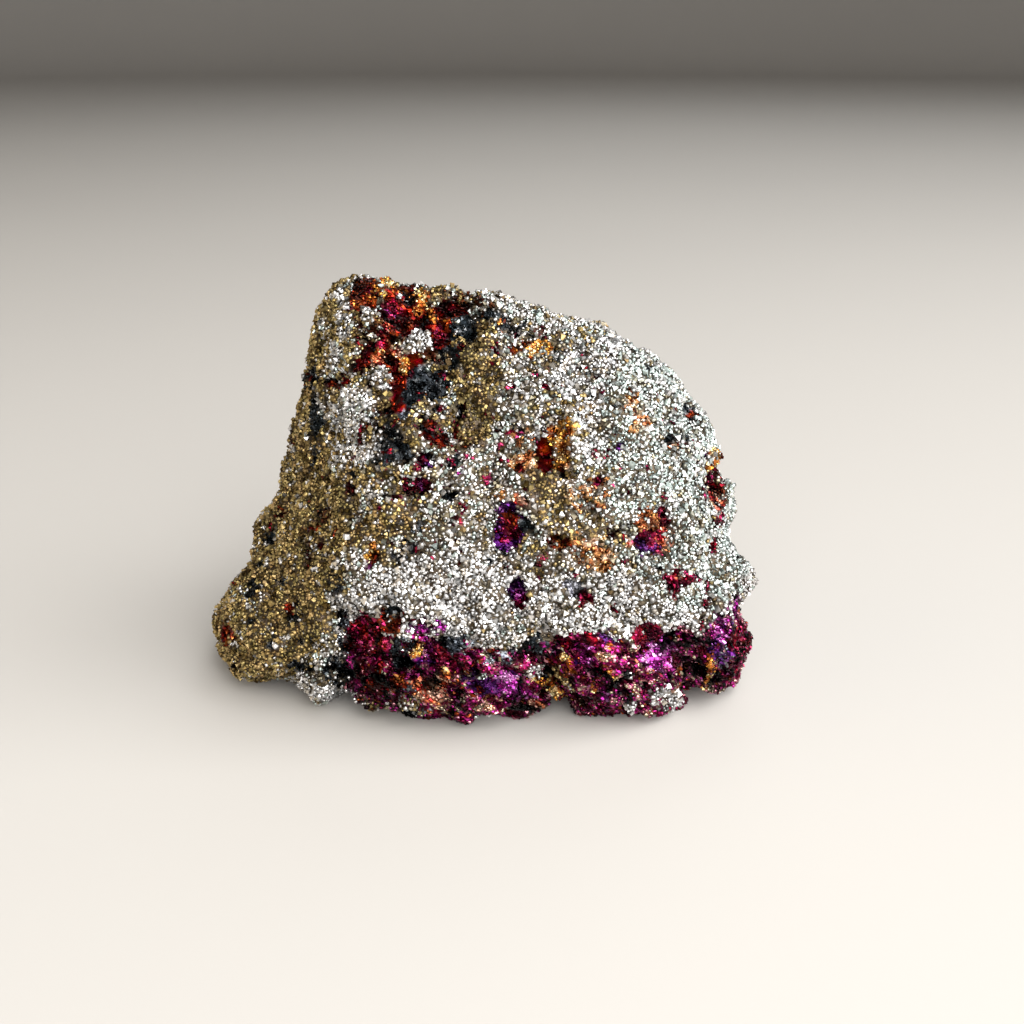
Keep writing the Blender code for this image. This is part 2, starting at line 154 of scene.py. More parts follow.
# Patches on the side that the photograph shows: mineral, u, v, half width, half height, turn in
# degrees, and the share of the patch's grains that are of it. A later patch lies over an earlier.
PATCHES = (
    # Upper left
    zoomed(NEAR, "brassy", 700, 720, 560, 640, 0, 0.62),
    zoomed(NEAR, "slate", 850, 620, 420, 480, 0, 0.22),
    zoomed(NEAR, "red", 760, 500, 330, 260, 0, 0.35),
    ("umber", -5.8, 38.9, 8.2, 4.6, -4, 0.72),
    ("brassy", -0.5, 34.6, 2.8, 5.4, 5, 0.9),
    ("brassy", -3.5, 42.4, 4.7, 0.7, 12, 0.6),
    ("silver", -15.2, 39.6, 0.8, 2.8, 5, 0.7),
    ("silver", -15.7, 35.0, 1.0, 1.4, 0, 0.6),
    ("silver", -13.8, 27.0, 2.9, 4.4, 0, 0.6),
    ("silver", -10.8, 32.2, 1.2, 1.5, 0, 0.8),
    ("ember", -12.8, 42.3, 1.6, 2.0, 0, 1),
    ("red", -13.6, 40.4, 0.9, 0.8, 0, 1),
    zoomed(NEAR, "magenta", 482, 200, 16, 16, 0, 1),
    ("silver", -12.4, 39.9, 0.8, 0.7, 0, 0.7),
    ("gold", -10.5, 42.7, 1.1, 0.9, 0, 0.75),
    ("red", -8.2, 41.6, 2.2, 1.8, 0, 1),
    ("ember", -8.9, 43.0, 0.9, 0.6, 0, 0.8),
    ("black", -7.9, 42.2, 0.9, 0.8, 0, 0.6),
    ("crimson", -9.8, 40.4, 1.5, 1.2, 0, 1),
    ("magenta", -10.1, 40.5, 0.5, 0.5, 0, 1),
    ("red", -9.8, 38.3, 1.5, 1.4, 0, 1),
    ("coral", -9.6, 38.6, 0.8, 0.6, 0, 0.45),
    ("red", -6.5, 39.1, 3.0, 2.2, 0, 1),
    ("red", -4.6, 37.0, 2.0, 1.7, 0, 1),
    ("red", -3.2, 40.5, 2.1, 1.2, 0, 1),
    ("crimson", -3.6, 38.4, 0.8, 0.8, 0, 0.8),
    ("ember", -3.2, 38.7, 0.7, 0.9, 0, 0.9),
    ("gold", -6.5, 41.5, 0.8, 1.2, 0, 0.8),
    ("gold", -5.2, 39.7, 0.4, 0.5, 0, 1),
    ("slate", -1.6, 38.2, 1.6, 1.9, 0, 0.95),
    ("slate", -3.2, 35.2, 1.2, 1.3, 0, 0.95),
    ("red", -1.5, 36.1, 0.8, 0.7, 0, 0.9),
    zoomed(NEAR, "brassy", 1330, 490, 80, 85, 0, 1),
    ("slate", 0.8, 39.7, 1.6, 0.5, 8, 0.95),
    ("gold", 2.9, 39.0, 0.5, 0.3, 30, 1),
    zoomed(NEAR, "crimson", 1550, 500, 30, 30, 0, 0.8),
    zoomed(NEAR, "ember", 1530, 640, 40, 30, -20, 0.9),
    ("crimson", 1.6, 35.7, 0.4, 0.9, 0, 0.9),
    ("silver", -6.8, 36.4, 1.4, 1.2, 0, 1),
    ("red", -11.4, 35.3, 2.3, 1.8, 0, 1),
    ("crimson", -11.2, 36.1, 0.9, 0.6, 0, 0.8),
    ("red", -13.6, 33.8, 0.5, 0.8, 0, 0.9),
    ("coral", -11.3, 34.8, 0.6, 1.1, -20, 0.9),
    ("gold", -11.2, 35.2, 0.4, 0.5, 0, 0.8),
    ("red", -8.8, 33.7, 1.4, 1.9, 0, 1),
    ("coral", -8.8, 35.2, 0.5, 0.9, 0, 0.7),
    ("gold", -8.3, 33.6, 0.5, 1.4, -4, 1),
    ("facet", -6.9, 33.9, 1.0, 1.6, 10, 1),
    ("red", -8.7, 32.1, 1.3, 1.1, 25, 1),
    ("slate", -5.4, 32.1, 2.5, 2.0, 0, 1),
    ("slate", -7.8, 30.4, 1.6, 1.3, 20, 1),
    ("steel", -5.8, 33.6, 0.7, 0.8, 0, 0.5),
    zoomed(NEAR, "brassy", 1000, 745, 40, 34, 0, 0.9),
    ("ember", -5.8, 31.1, 0.4, 0.4, 0, 0.8),
    ("red", -3.9, 32.9, 0.4, 0.4, 0, 1),
    ("facet", -9.3, 29.9, 0.9, 1.2, 0, 1),
    ("red", -10.6, 29.0, 1.1, 0.8, 20, 1),
    ("red", -15.7, 32.2, 1.5, 1.2, 0, 0.9),
    ("brassy", -15.6, 32.4, 0.7, 0.6, 0, 1),
    ("red", -12.3, 31.5, 0.6, 0.4, 0, 0.7),
    ("steel", -8.4, 28.7, 0.7, 0.6, 0, 0.9),
    ("red", -9.0, 27.7, 0.5, 0.5, 0, 0.8),
    ("brassy", -7.4, 27.4, 1.2, 1.3, 0, 1),
    zoomed(NEAR, "brassy", 880, 1030, 40, 30, 0, 0.9),
    ("red", -12.0, 27.2, 1.0, 0.7, -15, 1),
    ("red", -13.0, 25.3, 0.5, 1.0, 0, 0.9),
    ("slate", -10.0, 25.7, 1.5, 1.9, 0, 0.95),
    ("slate", -8.8, 24.3, 1.6, 1.1, 0, 0.95),
    ("slate", -11.1, 23.5, 0.9, 0.8, 0, 0.9),
    ("brassy", -12.0, 26.0, 0.8, 0.8, 0, 1),
    ("ember", -10.6, 24.4, 0.5, 0.4, 0, 0.9),
    ("red", -5.9, 27.0, 0.8, 1.6, 0, 0.95),
    ("red", -4.6, 25.7, 1.6, 0.7, 0, 0.95),
    ("ember", -4.7, 25.3, 0.4, 0.4, 0, 1),
    zoomed(NEAR, "brassy", 1040, 1130, 60, 80, 0, 0.8),
    ("crimson", -4.4, 29.1, 0.5, 0.6, 0, 0.8),
    ("red", -1.7, 28.8, 0.8, 0.8, 0, 0.9),
    ("black", -2.2, 28.6, 0.3, 1.8, -3, 1),
    ("red", -2.3, 26.5, 0.6, 0.8, 0, 1),
    ("ember", -1.0, 25.4, 0.8, 0.5, 15, 0.95),
    zoomed(NEAR, "brassy", 1230, 1130, 60, 110, 0, 0.9),
    ("crimson", -6.2, 23.2, 1.1, 1.0, 0, 0.95),
    ("violet", -5.5, 23.3, 0.5, 0.6, 0, 1),
    ("slate", -2.5, 23.5, 0.9, 0.9, 0, 1),
    ("slate", -14.4, 21.9, 0.7, 0.7, -30, 1),
    ("crimson", -7.1, 20.5, 1.9, 1.1, 0, 0.9),
    ("magenta", -6.8, 20.4, 0.9, 0.6, 0, 0.5),
    ("crimson", -9.4, 18.9, 0.3, 1.3, 45, 0.9),
    ("slate", -3.0, 19.3, 0.7, 0.7, 0, 0.9),
    ("red", -14.1, 20.1, 0.7, 0.7, 0, 0.9),
    ("red", -17.0, 21.1, 0.4, 0.5, 0, 0.9),
    ("red", -18.6, 19.0, 1.0, 0.5, 20, 0.7),
    ("umber", -17.5, 17.1, 1.3, 1.0, 0, 0.7),
    ("ember", -18.5, 15.7, 1.0, 0.5, 0, 0.8),
    ("red", -18.9, 13.6, 0.35, 2.6, -2, 0.9),
    ("ember", -16.0, 15.1, 0.5, 0.5, 0, 0.8),
    ("red", -17.6, 13.5, 0.4, 0.4, 0, 0.9),
    ("steel", -6.9, 16.0, 1.0, 0.8, 0, 0.6),
    ("slate", -7.5, 13.7, 1.0, 0.8, 0, 0.7),
    ("slate", -11.6, 16.1, 0.9, 0.7, 0, 0.4),
    ("steel", -9.1, 12.4, 0.9, 0.7, 0, 0.5),
    ("steel", -5.5, 9.7, 1.4, 1.2, 0, 0.55),
    ("steel", -3.2, 6.2, 1.4, 1.4, 0, 0.55),
    ("crimson", 1.9, 27.1, 0.6, 0.6, 0, 0.9),
    zoomed(NEAR, "magenta", 1165, 1500, 20, 16, 0, 0.9),
    zoomed(NEAR, "ember", 1550, 1420, 50, 50, 0, 0.5),
    ("crimson", 2.3, 24.4, 0.4, 0.5, 0, 0.8),
    zoomed(NEAR, "crimson", 1510, 900, 40, 30, -30, 0.8),
    ("slate", -18.6, 32.7, 1.0, 1.4, 0, 1),
    ("ember", -19.7, 33.4, 0.4, 1.2, 0, 0.9),
    ("slate", -18.2, 28.4, 0.7, 2.4, 3, 0.95),
    ("slate", -18.1, 24.6, 0.45, 2.6, -2, 0.9),
    # Top edge and front
    ("silver", -3.6, 8.4, 11.7, 4.8, 8, 0.9),
    ("silver", 15.3, 7.4, 10.4, 3.4, -5, 0.75),
    ("silver", 14.1, 30.1, 9.2, 6.8, 30, 0.6),
    zoomed(WIDE, "silver", 430, 520, 80, 60, 0, 0.5),
    # The frost patch on the right side is partly painted reflection of the key light.
    ("frost", 22.5, 22.0, 8.4, 16.0, 12, 0.85),
    ("slate", 3.6, 38.9, 2.4, 0.9, -15, 0.75),
    zoomed(WIDE, "brassy", 1040, 700, 110, 110, 0, 0.4),
    zoomed(WIDE, "brassy", 560, 740, 110, 70, 10, 0.35),
    zoomed(WIDE, "slate", 1000, 450, 260, 200, 0, 0.05),
    zoomed(WIDE, "crimson", 900, 600, 500, 330, 0, 0.03),
    zoomed(WIDE, "ember", 895, 268, 28, 22, 0, 0.8),
    ("gold", 7.1, 35.5, 1.5, 1.0, 0, 0.9),
    zoomed(WIDE, "crimson", 955, 240, 30, 18, 20, 0.6),
    zoomed(WIDE, "slate", 1005, 300, 14, 14, 0, 0.7),
    zoomed(WIDE, "crimson", 965, 378, 16, 14, 0, 0.9),
    zoomed(WIDE, "brassy", 1050, 250, 90, 30, 15, 0.35),
    zoomed(WIDE, "brassy", 990, 430, 90, 40, 0, 0.3),
    ("copper", 4.8, 25.8, 1.1, 1.1, 0, 0.7),
    ("crimson", 4.6, 26.3, 0.5, 0.5, 0, 0.7),
    ("copper", 4.9, 23.1, 1.6, 1.0, 0, 0.75),
    ("ember", 4.6, 22.7, 0.7, 0.5, 0, 0.8),
    ("copper", 9.0, 24.9, 1.7, 3.2, -8, 0.85),
    ("gold", 9.3, 25.2, 1.2, 2.6, -8, 0.9),
    ("gold", 9.8, 27.2, 1.5, 1.1, 0, 0.9),
    ("ember", 8.3, 21.9, 1.4, 0.8, 0, 0.9),
    ("facet", 7.4, 24.0, 1.2, 2.2, 4, 1),
    ("brassy", 11.9, 26.2, 0.7, 0.7, 0, 1),
    zoomed(WIDE, "brassy", 985, 700, 44, 90, 0, 0.75),
    ("copper", 12.5, 19.7, 2.6, 1.9, 20, 0.48),
    ("copper", 12.0, 13.7, 1.9, 1.9, 0, 0.45),
    ("copper", 13.3, 11.8, 1.9, 1.1, 0, 0.6),
    ("copper", 14.7, 13.5, 1.1, 1.8, 0, 0.45),
    ("slate", 13.6, 16.6, 2.6, 3.6, 0, 0.06),
    ("crimson", 15.7, 14.9, 1.2, 0.7, -20, 0.75),
    ("brassy", 11.3, 16.2, 2.8, 2.0, 0, 0.35),
    ("ember", 9.0, 14.1, 1.0, 0.9, 0, 0.9),
    zoomed(WIDE, "crimson", 960, 860, 18, 10, 30, 0.8),
    ("coral", 4.8, 19.0, 0.9, 0.7, 0, 0.8),
    ("copper", 2.5, 19.4, 0.8, 0.5, 0, 0.7),
    ("violet", 3.4, 16.1, 1.7, 2.7, 8, 1),
    ("crimson", 3.5, 15.8, 1.2, 1.6, 8, 1),
    ("red", 3.5, 16.6, 0.9, 0.9, 0, 0.8),
    ("ember", 3.4, 17.0, 1.2, 0.3, 0, 0.9),
    ("slate", 5.4, 16.3, 0.9, 0.8, 0, 0.9),
    ("violet", 2.3, 14.6, 0.8, 0.8, 0, 0.9),
    ("slate", 2.9, 13.4, 0.8, 0.4, 0, 0.8),
    zoomed(WIDE, "brassy", 920, 860, 50, 60, 0, 0.35),
    ("violet", 4.1, 8.9, 1.1, 1.3, 0, 1),
    ("crimson", 4.7, 7.2, 0.9, 1.0, 0, 1),
    ("magenta", 4.5, 8.0, 0.5, 0.6, 0, 0.8),
    ("lavender", 10.6, 8.9, 1.3, 0.9, -25, 1),
    ("crimson", 12.1, 7.8, 1.1, 0.9, 0, 1),
    ("crimson", 14.9, 6.6, 0.6, 0.7, 0, 0.8),
    zoomed(WIDE, "slate", 820, 870, 16, 14, 0, 0.7),
    ("gold", -12.0, 13.0, 0.9, 1.1, 0, 0.8),
    ("ember", -11.8, 12.4, 0.7, 0.7, 0, 0.8),
    ("magenta", -12.4, 11.5, 0.5, 0.6, 0, 1),
    ("copper", 17.1, 29.8, 0.8, 1.3, -8, 0.6),
    ("copper", 18.0, 27.7, 1.0, 1.3, -20, 0.75),
    ("crimson", 13.7, 23.9, 0.6, 0.7, -20, 0.6),
    ("crimson", 13.6, 21.2, 0.5, 0.6, -30, 0.8),
    ("violet", 16.0, 25.1, 0.5, 0.6, 0, 1),
    ("crimson", 20.2, 16.6, 1.1, 1.8, -12, 0.95),
    ("copper", 18.7, 16.3, 1.0, 1.9, -8, 0.8),
    ("crimson", 19.6, 14.2, 1.8, 1.6, -20, 1),
    ("violet", 19.3, 13.4, 1.0, 0.9, 0, 0.4),
    ("coral", 21.1, 14.0, 1.2, 1.7, 0, 0.65),
    ("coral", 17.2, 14.3, 1.0, 0.6, -20, 0.6),
    ("crimson", 22.3, 10.0, 1.8, 1.2, 0, 0.85),
    ("coral", 22.5, 10.3, 0.6, 0.5, 0, 0.8),
    ("crimson", 22.0, 8.4, 0.4, 0.9, 0, 0.8),
    ("crimson", 20.2, 10.9, 1.2, 0.3, -30, 0.8),
    ("crimson", 24.0, 9.9, 1.3, 0.3, -20, 0.8),
    ("slate", 23.3, 29.3, 0.9, 1.1, 10, 1),
    ("ember", 24.0, 28.0, 1.1, 1.1, 0, 0.8),
    ("slate", 22.3, 25.8, 1.4, 0.6, 0, 0.9),
    ("coral", 22.3, 25.2, 1.0, 0.4, 0, 0.9),
    ("gold", 26.2, 23.4, 1.0, 1.4, 0, 0.8),
    zoomed(WIDE, "violet", 1412, 580, 10, 14, 0, 1),
    ("crimson", 26.4, 20.8, 1.3, 2.2, -10, 0.9),
    ("coral", 27.0, 18.8, 1.1, 2.0, -6, 0.75),
    ("crimson", 27.3, 16.6, 0.7, 1.0, 0, 0.7),
    zoomed(WIDE, "slate", 1270, 320, 20, 16, 0, 0.8),
    zoomed(WIDE, "slate", 1225, 270, 24, 10, 20, 0.8),
    ("crimson", 26.6, 13.6, 0.5, 1.2, 0, 0.8),
    zoomed(WIDE, "slate", 1495, 860, 10, 14, 0, 0.8),
    zoomed(WIDE, "crimson", 1415, 970, 16, 60, 0, 0.6),
    ("magenta", 29.0, 6.8, 0.7, 1.7, 0, 0.9),
    # Left face
    *(zoomed(WIDE, *row) for row in LEFT_FACE_MARKS),
    # Band along the foot
    zoomed(WIDE, "crimson", 470, 1110, 52, 92, 4, 1),
    ("red", -12.6, 1.8, 2.2, 3.6, 4, 0.65),
    ("wine", -12.8, 0.6, 1.4, 2.4, 0, 0.4),
    ("ember", -9.8, 5.4, 1.5, 1.3, 0, 0.7),
    ("slate", -10.4, 6.6, 1.8, 0.8, 0, 0.6),
    ("slate", -8.6, 1.6, 1.5, 2.2, 0, 0.7),
    ("steel", -8.4, 2.8, 0.9, 0.9, 0, 0.6),
    ("orchid", -5.8, 4.6, 2.2, 1.1, 8, 0.65),
    ("crimson", -6.8, 5.2, 1.4, 0.7, 0, 0.5),
    ("magenta", -5.6, 2.4, 1.2, 1.0, -20, 0.75),
    ("violet", -6.6, 0.6, 1.8, 0.8, -10, 0.7),
    ("gold", -7.2, 1.8, 0.5, 0.5, 0, 0.6),
    ("steel", -2.4, 2.6, 1.7, 1.1, 10, 0.9),
    ("crimson", -3.2, 0.6, 2.2, 1.0, -15, 0.7),
    zoomed(WIDE, "red", 500, 1220, 46, 34, 0, 0.9),
    ("ember", -9.0, -2.0, 1.8, 1.0, 0, 0.7),
    ("coral", -5.6, -2.5, 2.6, 1.3, 0, 0.95),
    ("coral", -3.4, -4.3, 1.8, 0.7, -10, 0.5),
    ("gold", -3.6, -0.6, 0.35, 0.9, 40, 1),
    ("steel", -7.8, -2.4, 0.5, 0.6, 0, 0.8),
    ("black", -7.6, -4.9, 2.1, 0.9, 4, 0.75),
    ("steel", -6.2, -4.9, 1.3, 0.7, 0, 0.5),
    ("violet", -0.3, -2.0, 1.8, 1.3, -10, 0.85),
    ("ember", 0.2, -2.5, 0.5, 0.5, 0, 0.8),
    ("violet", 2.2, -2.6, 0.9, 0.8, 0, 0.9),
    ("steel", 2.6, 0.9, 1.5, 1.1, 0, 0.8),
    ("coral", 1.6, 2.0, 0.7, 0.5, 0, 0.6),
    ("slate", 6.8, 2.4, 1.8, 1.4, -10, 0.9),
    ("violet", 4.6, -1.4, 0.8, 0.6, 0, 0.9),
    ("orchid", 3.9, -2.4, 1.8, 1.3, -20, 1),
    ("magenta", 5.6, -3.6, 1.3, 0.8, -30, 0.9),
    ("coral", 6.7, -4.3, 1.0, 0.6, 0, 0.8),
    ("coral", 1.0, -4.3, 1.8, 0.6, 0, 0.4),
    ("silver", 6.2, -0.2, 1.0, 0.7, 0, 0.7),
    ("gold", 7.8, -2.0, 2.0, 0.35, -40, 0.9),
    ("ember", 9.3, -0.4, 1.6, 1.3, -20, 0.7),
    ("gold", 9.9, 0.9, 1.3, 0.3, -25, 0.8),
    ("crimson", 11.2, 2.9, 2.4, 1.4, 10, 0.8),
    ("magenta", 12.3, 1.4, 1.0, 0.8, -40, 0.6),
    ("violet", 14.6, 3.3, 1.1, 0.9, 0, 0.7),
    ("violet", 11.1, 0.2, 0.6, 0.5, 0, 0.8),
    ("gold", 14.8, -0.6, 1.5, 0.35, -45, 0.9),
    ("coral", 13.9, 0.9, 0.9, 0.6, -40, 0.6),
    ("black", 16.8, -0.8, 0.9, 0.9, 0, 0.8),
    ("magenta", 13.6, -2.9, 1.6, 0.7, -20, 0.6),
    ("gold", 13.0, -2.0, 0.6, 0.3, -40, 0.9),
    ("black", 16.4, -3.4, 1.2, 0.7, 0, 0.5),
    ("silver", 17.0, -4.4, 0.6, 0.4, 0, 0.9),
    ("coral", 18.2, 0.6, 0.8, 1.4, 0, 0.6),
    ("crimson", 19.6, 3.4, 2.2, 1.4, 0, 0.9),
    ("orchid", 20.4, 1.4, 1.7, 1.8, 0, 1),
    ("magenta", 21.8, -0.6, 0.9, 0.9, -30, 0.6),
    zoomed(WIDE, "wine", 1360, 1150, 40, 40, 0, 0.9),
    ("silver", 21.3, -3.5, 1.8, 1.4, -10, 0.7),
    ("coral", 22.3, -2.2, 1.0, 0.6, 0, 0.5),
    zoomed(WIDE, "crimson", 1415, 1090, 16, 60, 10, 0.8),
    ("gold", 26.2, -0.1, 0.4, 2.4, -12, 0.8),
    ("violet", 27.8, 2.8, 1.6, 2.8, 5, 0.75),
    ("magenta", 27.2, 4.4, 1.3, 1.8, 0, 0.6),
    ("steel", 28.1, 1.2, 0.9, 1.8, -20, 0.35),
    ("crimson", 29.6, 2.0, 1.2, 2.8, 0, 0.8),
    zoomed(WIDE, "slate", 1450, 1210, 30, 16, 0, 0.6),
)

# Top edge of the bare band along the foot: u and v in the view, then azimuth and height round
# the sides and back.
BAND_TOP = (
    (-15.4, -9.0), (-14.8, 7.0), (-10.3, 7.2), (-8.6, 5.7), (-5.2, 5.3), (-2.4, 3.9), (-0.7, 1.9),
    (2.1, 2.2), (4.9, 1.8), (7.7, 3.1), (9.4, 3.8), (12.8, 4.2), (15.6, 3.6), (18.4, 2.2),
    (19.3, 4.5), (22.9, 4.8), (24.6, 3.5), (26.5, 5.3), (29.4, 7.6),
)
BACK_TOP = (
    (-180, 15.0), (-160, 10.0), (-140, 5.0), (-115, 1.0), (-90, 0.0), (-62, 0.0), (-48, 0.0),
    (40, 4.0), (56, 10.0), (74, 12.0), (90, 14.0), (108, 20.0), (126, 26.0), (145, 27.0),
    (162, 21.0), (180, 15.0),
)

# Where the crust is brassy in the view: left of an edge, given by v and u, and in ovals, given by
# u, v, half width, half height and how brassy. This is partly the crust's own brass tint and partly
# painted shade: the left face and the valley, turned away from the key light, are made warm tan.
LEFT_FACE_EDGE = (
    (-2.0, -22.0), (1.0, -19.0), (5.0, -16.8), (9.5, -16.0), (14.0, -15.0), (20.0, -15.3),
    (23.0, -17.6), (29.0, -17.8), (34.0, -17.6), (40.0, -17.4), (44.0, -15.5),
)
BRASSY_PLACES = (
    (-0.4, 32.1, 3.0, 7.6, 0.45),
    (6.2, 21.5, 1.8, 3.2, 0.45),
    (-12.4, 17.0, 5.0, 6.5, 0.3),
    (-15.0, 40.0, 2.2, 4.0, 0.4),
    (-16.0, 24.0, 2.6, 5.0, 0.25),
)

# How patch edges wander: the size of a bend and how far it goes.
WANDER = ((2.4, 0.55), (0.9, 0.3))

# Noise makes the openings on the hidden sides too, and the tints in their bare ore: between which
# of its values each mineral lies. An opening starts at OPENING_LIMIT.
OPENING_LIMIT = 0.52
OPENING_MINERALS = (
    (-2.0, -0.25, "slate"), (-0.25, 0.0, "ember"), (0.0, 0.25, "red"), (0.25, 2.0, "crimson"),
)
HIDDEN_TINTS = ((0.35, 0.5, "magenta"), (-0.5, -0.35, "violet"), (-0.35, -0.28, "slate"))

# The body's mesh and relief. The ridge's place is u, v, half width and half height in the view.
# Bare ore lies lower than the crust, and gold and copper patches stand out.
VOXEL = 0.37
SMOOTHING = 4
RIDGE_PLACE = (-15.5, 20.0, 5.0, 21.0)
RIDGE_ROUNDS = 90
CRUST_LUMPS = ((2.5, 0.50), (1.2, 0.32))
BARE_SUNK = 0.3
GOLD_RAISED = 0.25
CHIP_CELLS = ((3.0, 0.42, 0.20, 0.45), (1.6, 0.36, 0.12, 0.20), (0.9, 0.26, 0.05, 0.0))
CHIP_REACH = (-0.9, 0.5)
GRAIN_LINE = np.array((0.8, 0.1, -0.6))
LINE_STRETCH = 2.6

# How each mineral is grained: spacing, size, sizes of the three axes, and whether its grains lie
# along the ore's line.
GRAINING = {
    "crust": (0.24, 0.43, (1.0, 1.0, 1.0), False),
    "brassy": (0.24, 0.40, (1.0, 1.0, 1.0), False),
    "silver": (0.24, 0.47, (1.0, 1.0, 1.0), False),
    "frost": (0.24, 0.43, (1.0, 1.0, 1.0), False),
    "umber": (0.26, 0.38, (1.2, 1.0, 0.8), False),
    "slate": (0.28, 0.36, (1.2, 1.0, 0.8), False),
    "steel": (0.28, 0.36, (1.2, 1.0, 0.8), False),
    "black": (0.30, 0.45, (1.0, 1.0, 1.0), False),
    "lavender": (0.27, 0.45, (1.3, 1.0, 0.7), True),
    "gold": (0.25, 0.38, (1.2, 1.0, 0.8), False),
    "copper": (0.25, 0.38, (1.2, 1.0, 0.8), False),
    "facet": (0.27, 0.35, (1.3, 1.0, 0.7), True),
}
CHIPS = (0.27, 0.38, (1.5, 1.0, 0.6), True)

# The grains and chips: how many places are tried, how their sizes spread and the limits of that for
# crust grains and for chips, how far one stands out as a share of its size, how the lines of long
# ones wobble, how many shapes there are, and the shares of rounded ones and of grains on a facet.
CANDIDATES = 420000
SIZE_SPREAD = 0.28
LEAST_SIZE = 0.6
LARGEST_CRUST_GRAIN = 1.9
LARGEST_CHIP = 1.35
STANDS_OUT = 0.12
WOBBLE = 0.25
SHAPE_COUNT = 24
ROUNDED_SHARE = 0.5
FACET_GRAINS = 0.1
CRUST_PARTS = ("front", "right", "back", "left")

# Painted shade at a grain's root and in creases, set per block on bare ore too, and the power that
# makes brassy grains duller.
ROOT_SHADE = 0.2
CREASE_SHADE = 0.7
BRASSY_DULLNESS = 0.2

# Metals: roughness from shiny to dull, hue drift, darkest tarnish, bump in millimetres, and coat.
CRUST_METAL = ("crust metal", (0.24, 0.6), 0.015, 0.75, 0.02, 0.0)
BARE_METAL = ("bare ore", (0.14, 0.46), 0.02, 0.6, 0.03, 0.1)
BODY_METAL = ("stone body", (0.2, 0.6), 0.02, 0.5, 0.08, 0.0)
COAT_ROUGHNESS = 0.15

# The floor and the wall round it, in metres, and the floor's two tones.
FLOOR_RADIUS = 1.3
WALL_CURVE = 0.5
WALL_HEIGHT = 2.6
FLOOR_SECTORS = 72
CURVE_STEPS = 12
FLOOR_TONES = ((0.42, 0.40, 0.375, 1.0), (0.45, 0.43, 0.40, 1.0))
FLOOR_ROUGHNESS = 0.9
FLOOR_SHINE = 0.1

# Soft lights: name, azimuth, elevation, distance and size in metres, power in watts, colour.
LIGHTS = (
    ("key", 50, 36, 0.60, 1.0, 14.0, (1.0, 1.0, 1.0)),
    ("front", 2, 30, 0.80, 0.75, 6.5, (1.0, 0.99, 0.985)),
    ("back", 165, 45, 0.90, 0.60, 1.6, (0.93, 0.97, 1.0)),
    ("left", -80, 16, 0.80, 0.90, 1.9, (1.0, 0.82, 0.56)),
)
WORLD = (0.068, 0.064, 0.060)


def direction(azimuth, elevation):
    """A unit vector. Azimuth 0 points at the viewer, along -Y, and 90 along +X."""
    a, e = math.radians(azimuth), math.radians(elevation)
    return np.array((math.sin(a) * math.cos(e), -math.cos(a) * math.cos(e), math.sin(e)))


RIGHT = direction(90, 0)
UP = direction(0, VIEW_ELEVATION + 90.0)
TOWARDS_CAMERA = direction(0, VIEW_ELEVATION)


def smooth_step(x, low, high):
    t = np.clip((x - low) / (high - low), 0.0, 1.0)
    return t * t * (3.0 - 2.0 * t)


def relief(points, size, seed):
    """Smooth noise from about -1 to 1, with lumps of this size."""
    shift = Vector((seed * 17.3, seed * 9.1, seed * 5.7))
    return np.array([noise.noise(Vector(p) / size + shift) for p in points])


def view_place(points):
    """u and v of points in the view's picture plane."""
    away = points - AIM
    grow = VIEW_DISTANCE / (VIEW_DISTANCE - away @ TOWARDS_CAMERA)
    return (away @ RIGHT) * grow + AIM @ RIGHT, (away @ UP) * grow + AIM @ UP


def inside(u, v, patch):
    """Whether places of the view lie in an oval patch."""
    _, patch_u, patch_v, half_width, half_height, turn, _ = patch
    t = math.radians(turn)
    across = (u - patch_u) * math.cos(t) + (v - patch_v) * math.sin(t)
    along = -(u - patch_u) * math.sin(t) + (v - patch_v) * math.cos(t)
    return (across / half_width) ** 2 + (along / half_height) ** 2 < 1.0


def minerals_at(points, normals):
    """The number in NAMES of the mineral that shows at each point."""
    u, v = view_place(points)
    drift_u = sum(far * relief(points, size, 3) for size, far in WANDER)
    drift_v = sum(far * relief(points, size, 8) for size, far in WANDER)
    seen = normals @ TOWARDS_CAMERA > 0.0
    azimuth = np.degrees(np.arctan2(points[:, 0], -points[:, 1]))
    band = np.interp(u, *np.array(BAND_TOP).T)
    back = np.interp(azimuth, *np.array(BACK_TOP).T)
    bare = np.where(seen, v + drift_v < band, points[:, 2] + 3.0 * drift_v < back)
    brassy = brass_and_shade_share(points, normals, u, v) > 0.5
    found = np.where(bare, NAMES.index("wine"), NAMES.index("crust"))
    found[~bare & brassy] = NAMES.index("brassy")
    hidden_patches(found, points, bare, ~seen)
    mixed = relief(points, 0.45, 61) + 0.6 * relief(points, 0.9, 62)
    mixed = np.argsort(np.argsort(mixed)) / len(points)
    for patch in PATCHES:
        here = seen & inside(u + drift_u, v + drift_v, patch) & (mixed < patch[-1])
        found[here] = NAMES.index(patch[0])
    return found


def brass_and_shade_share(points, normals, u, v):
    """How brassy the crust is: over 0.5 on the left face, in the valley and in patches.

    Partly painted shade: the left face, and on the hidden sides faces turned left, away from the key
    light, are made brassier.
    """
    edge_v, edge_u = np.array(LEFT_FACE_EDGE).T
    left = smooth_step(np.interp(v, edge_v, edge_u) - u, -2.6, 2.2)
    hidden = normals @ TOWARDS_CAMERA <= 0.0
    # Painted shade on the hidden sides: faces turned left, away from the key light, are brassier.
    left[hidden] = smooth_step(-(normals @ RIGHT), -0.1, 0.5)[hidden]
    share = 0.18 + 0.6 * left + 0.4 * relief(points, 3.0, 51) + 0.4 * relief(points, 0.6, 52)
    for middle_u, middle_v, half_width, half_height, more in BRASSY_PLACES:
        away = ((u - middle_u) / half_width) ** 2 + ((v - middle_v) / half_height) ** 2
        share += more * (1.0 - smooth_step(away, 0.4, 1.3))
    return share


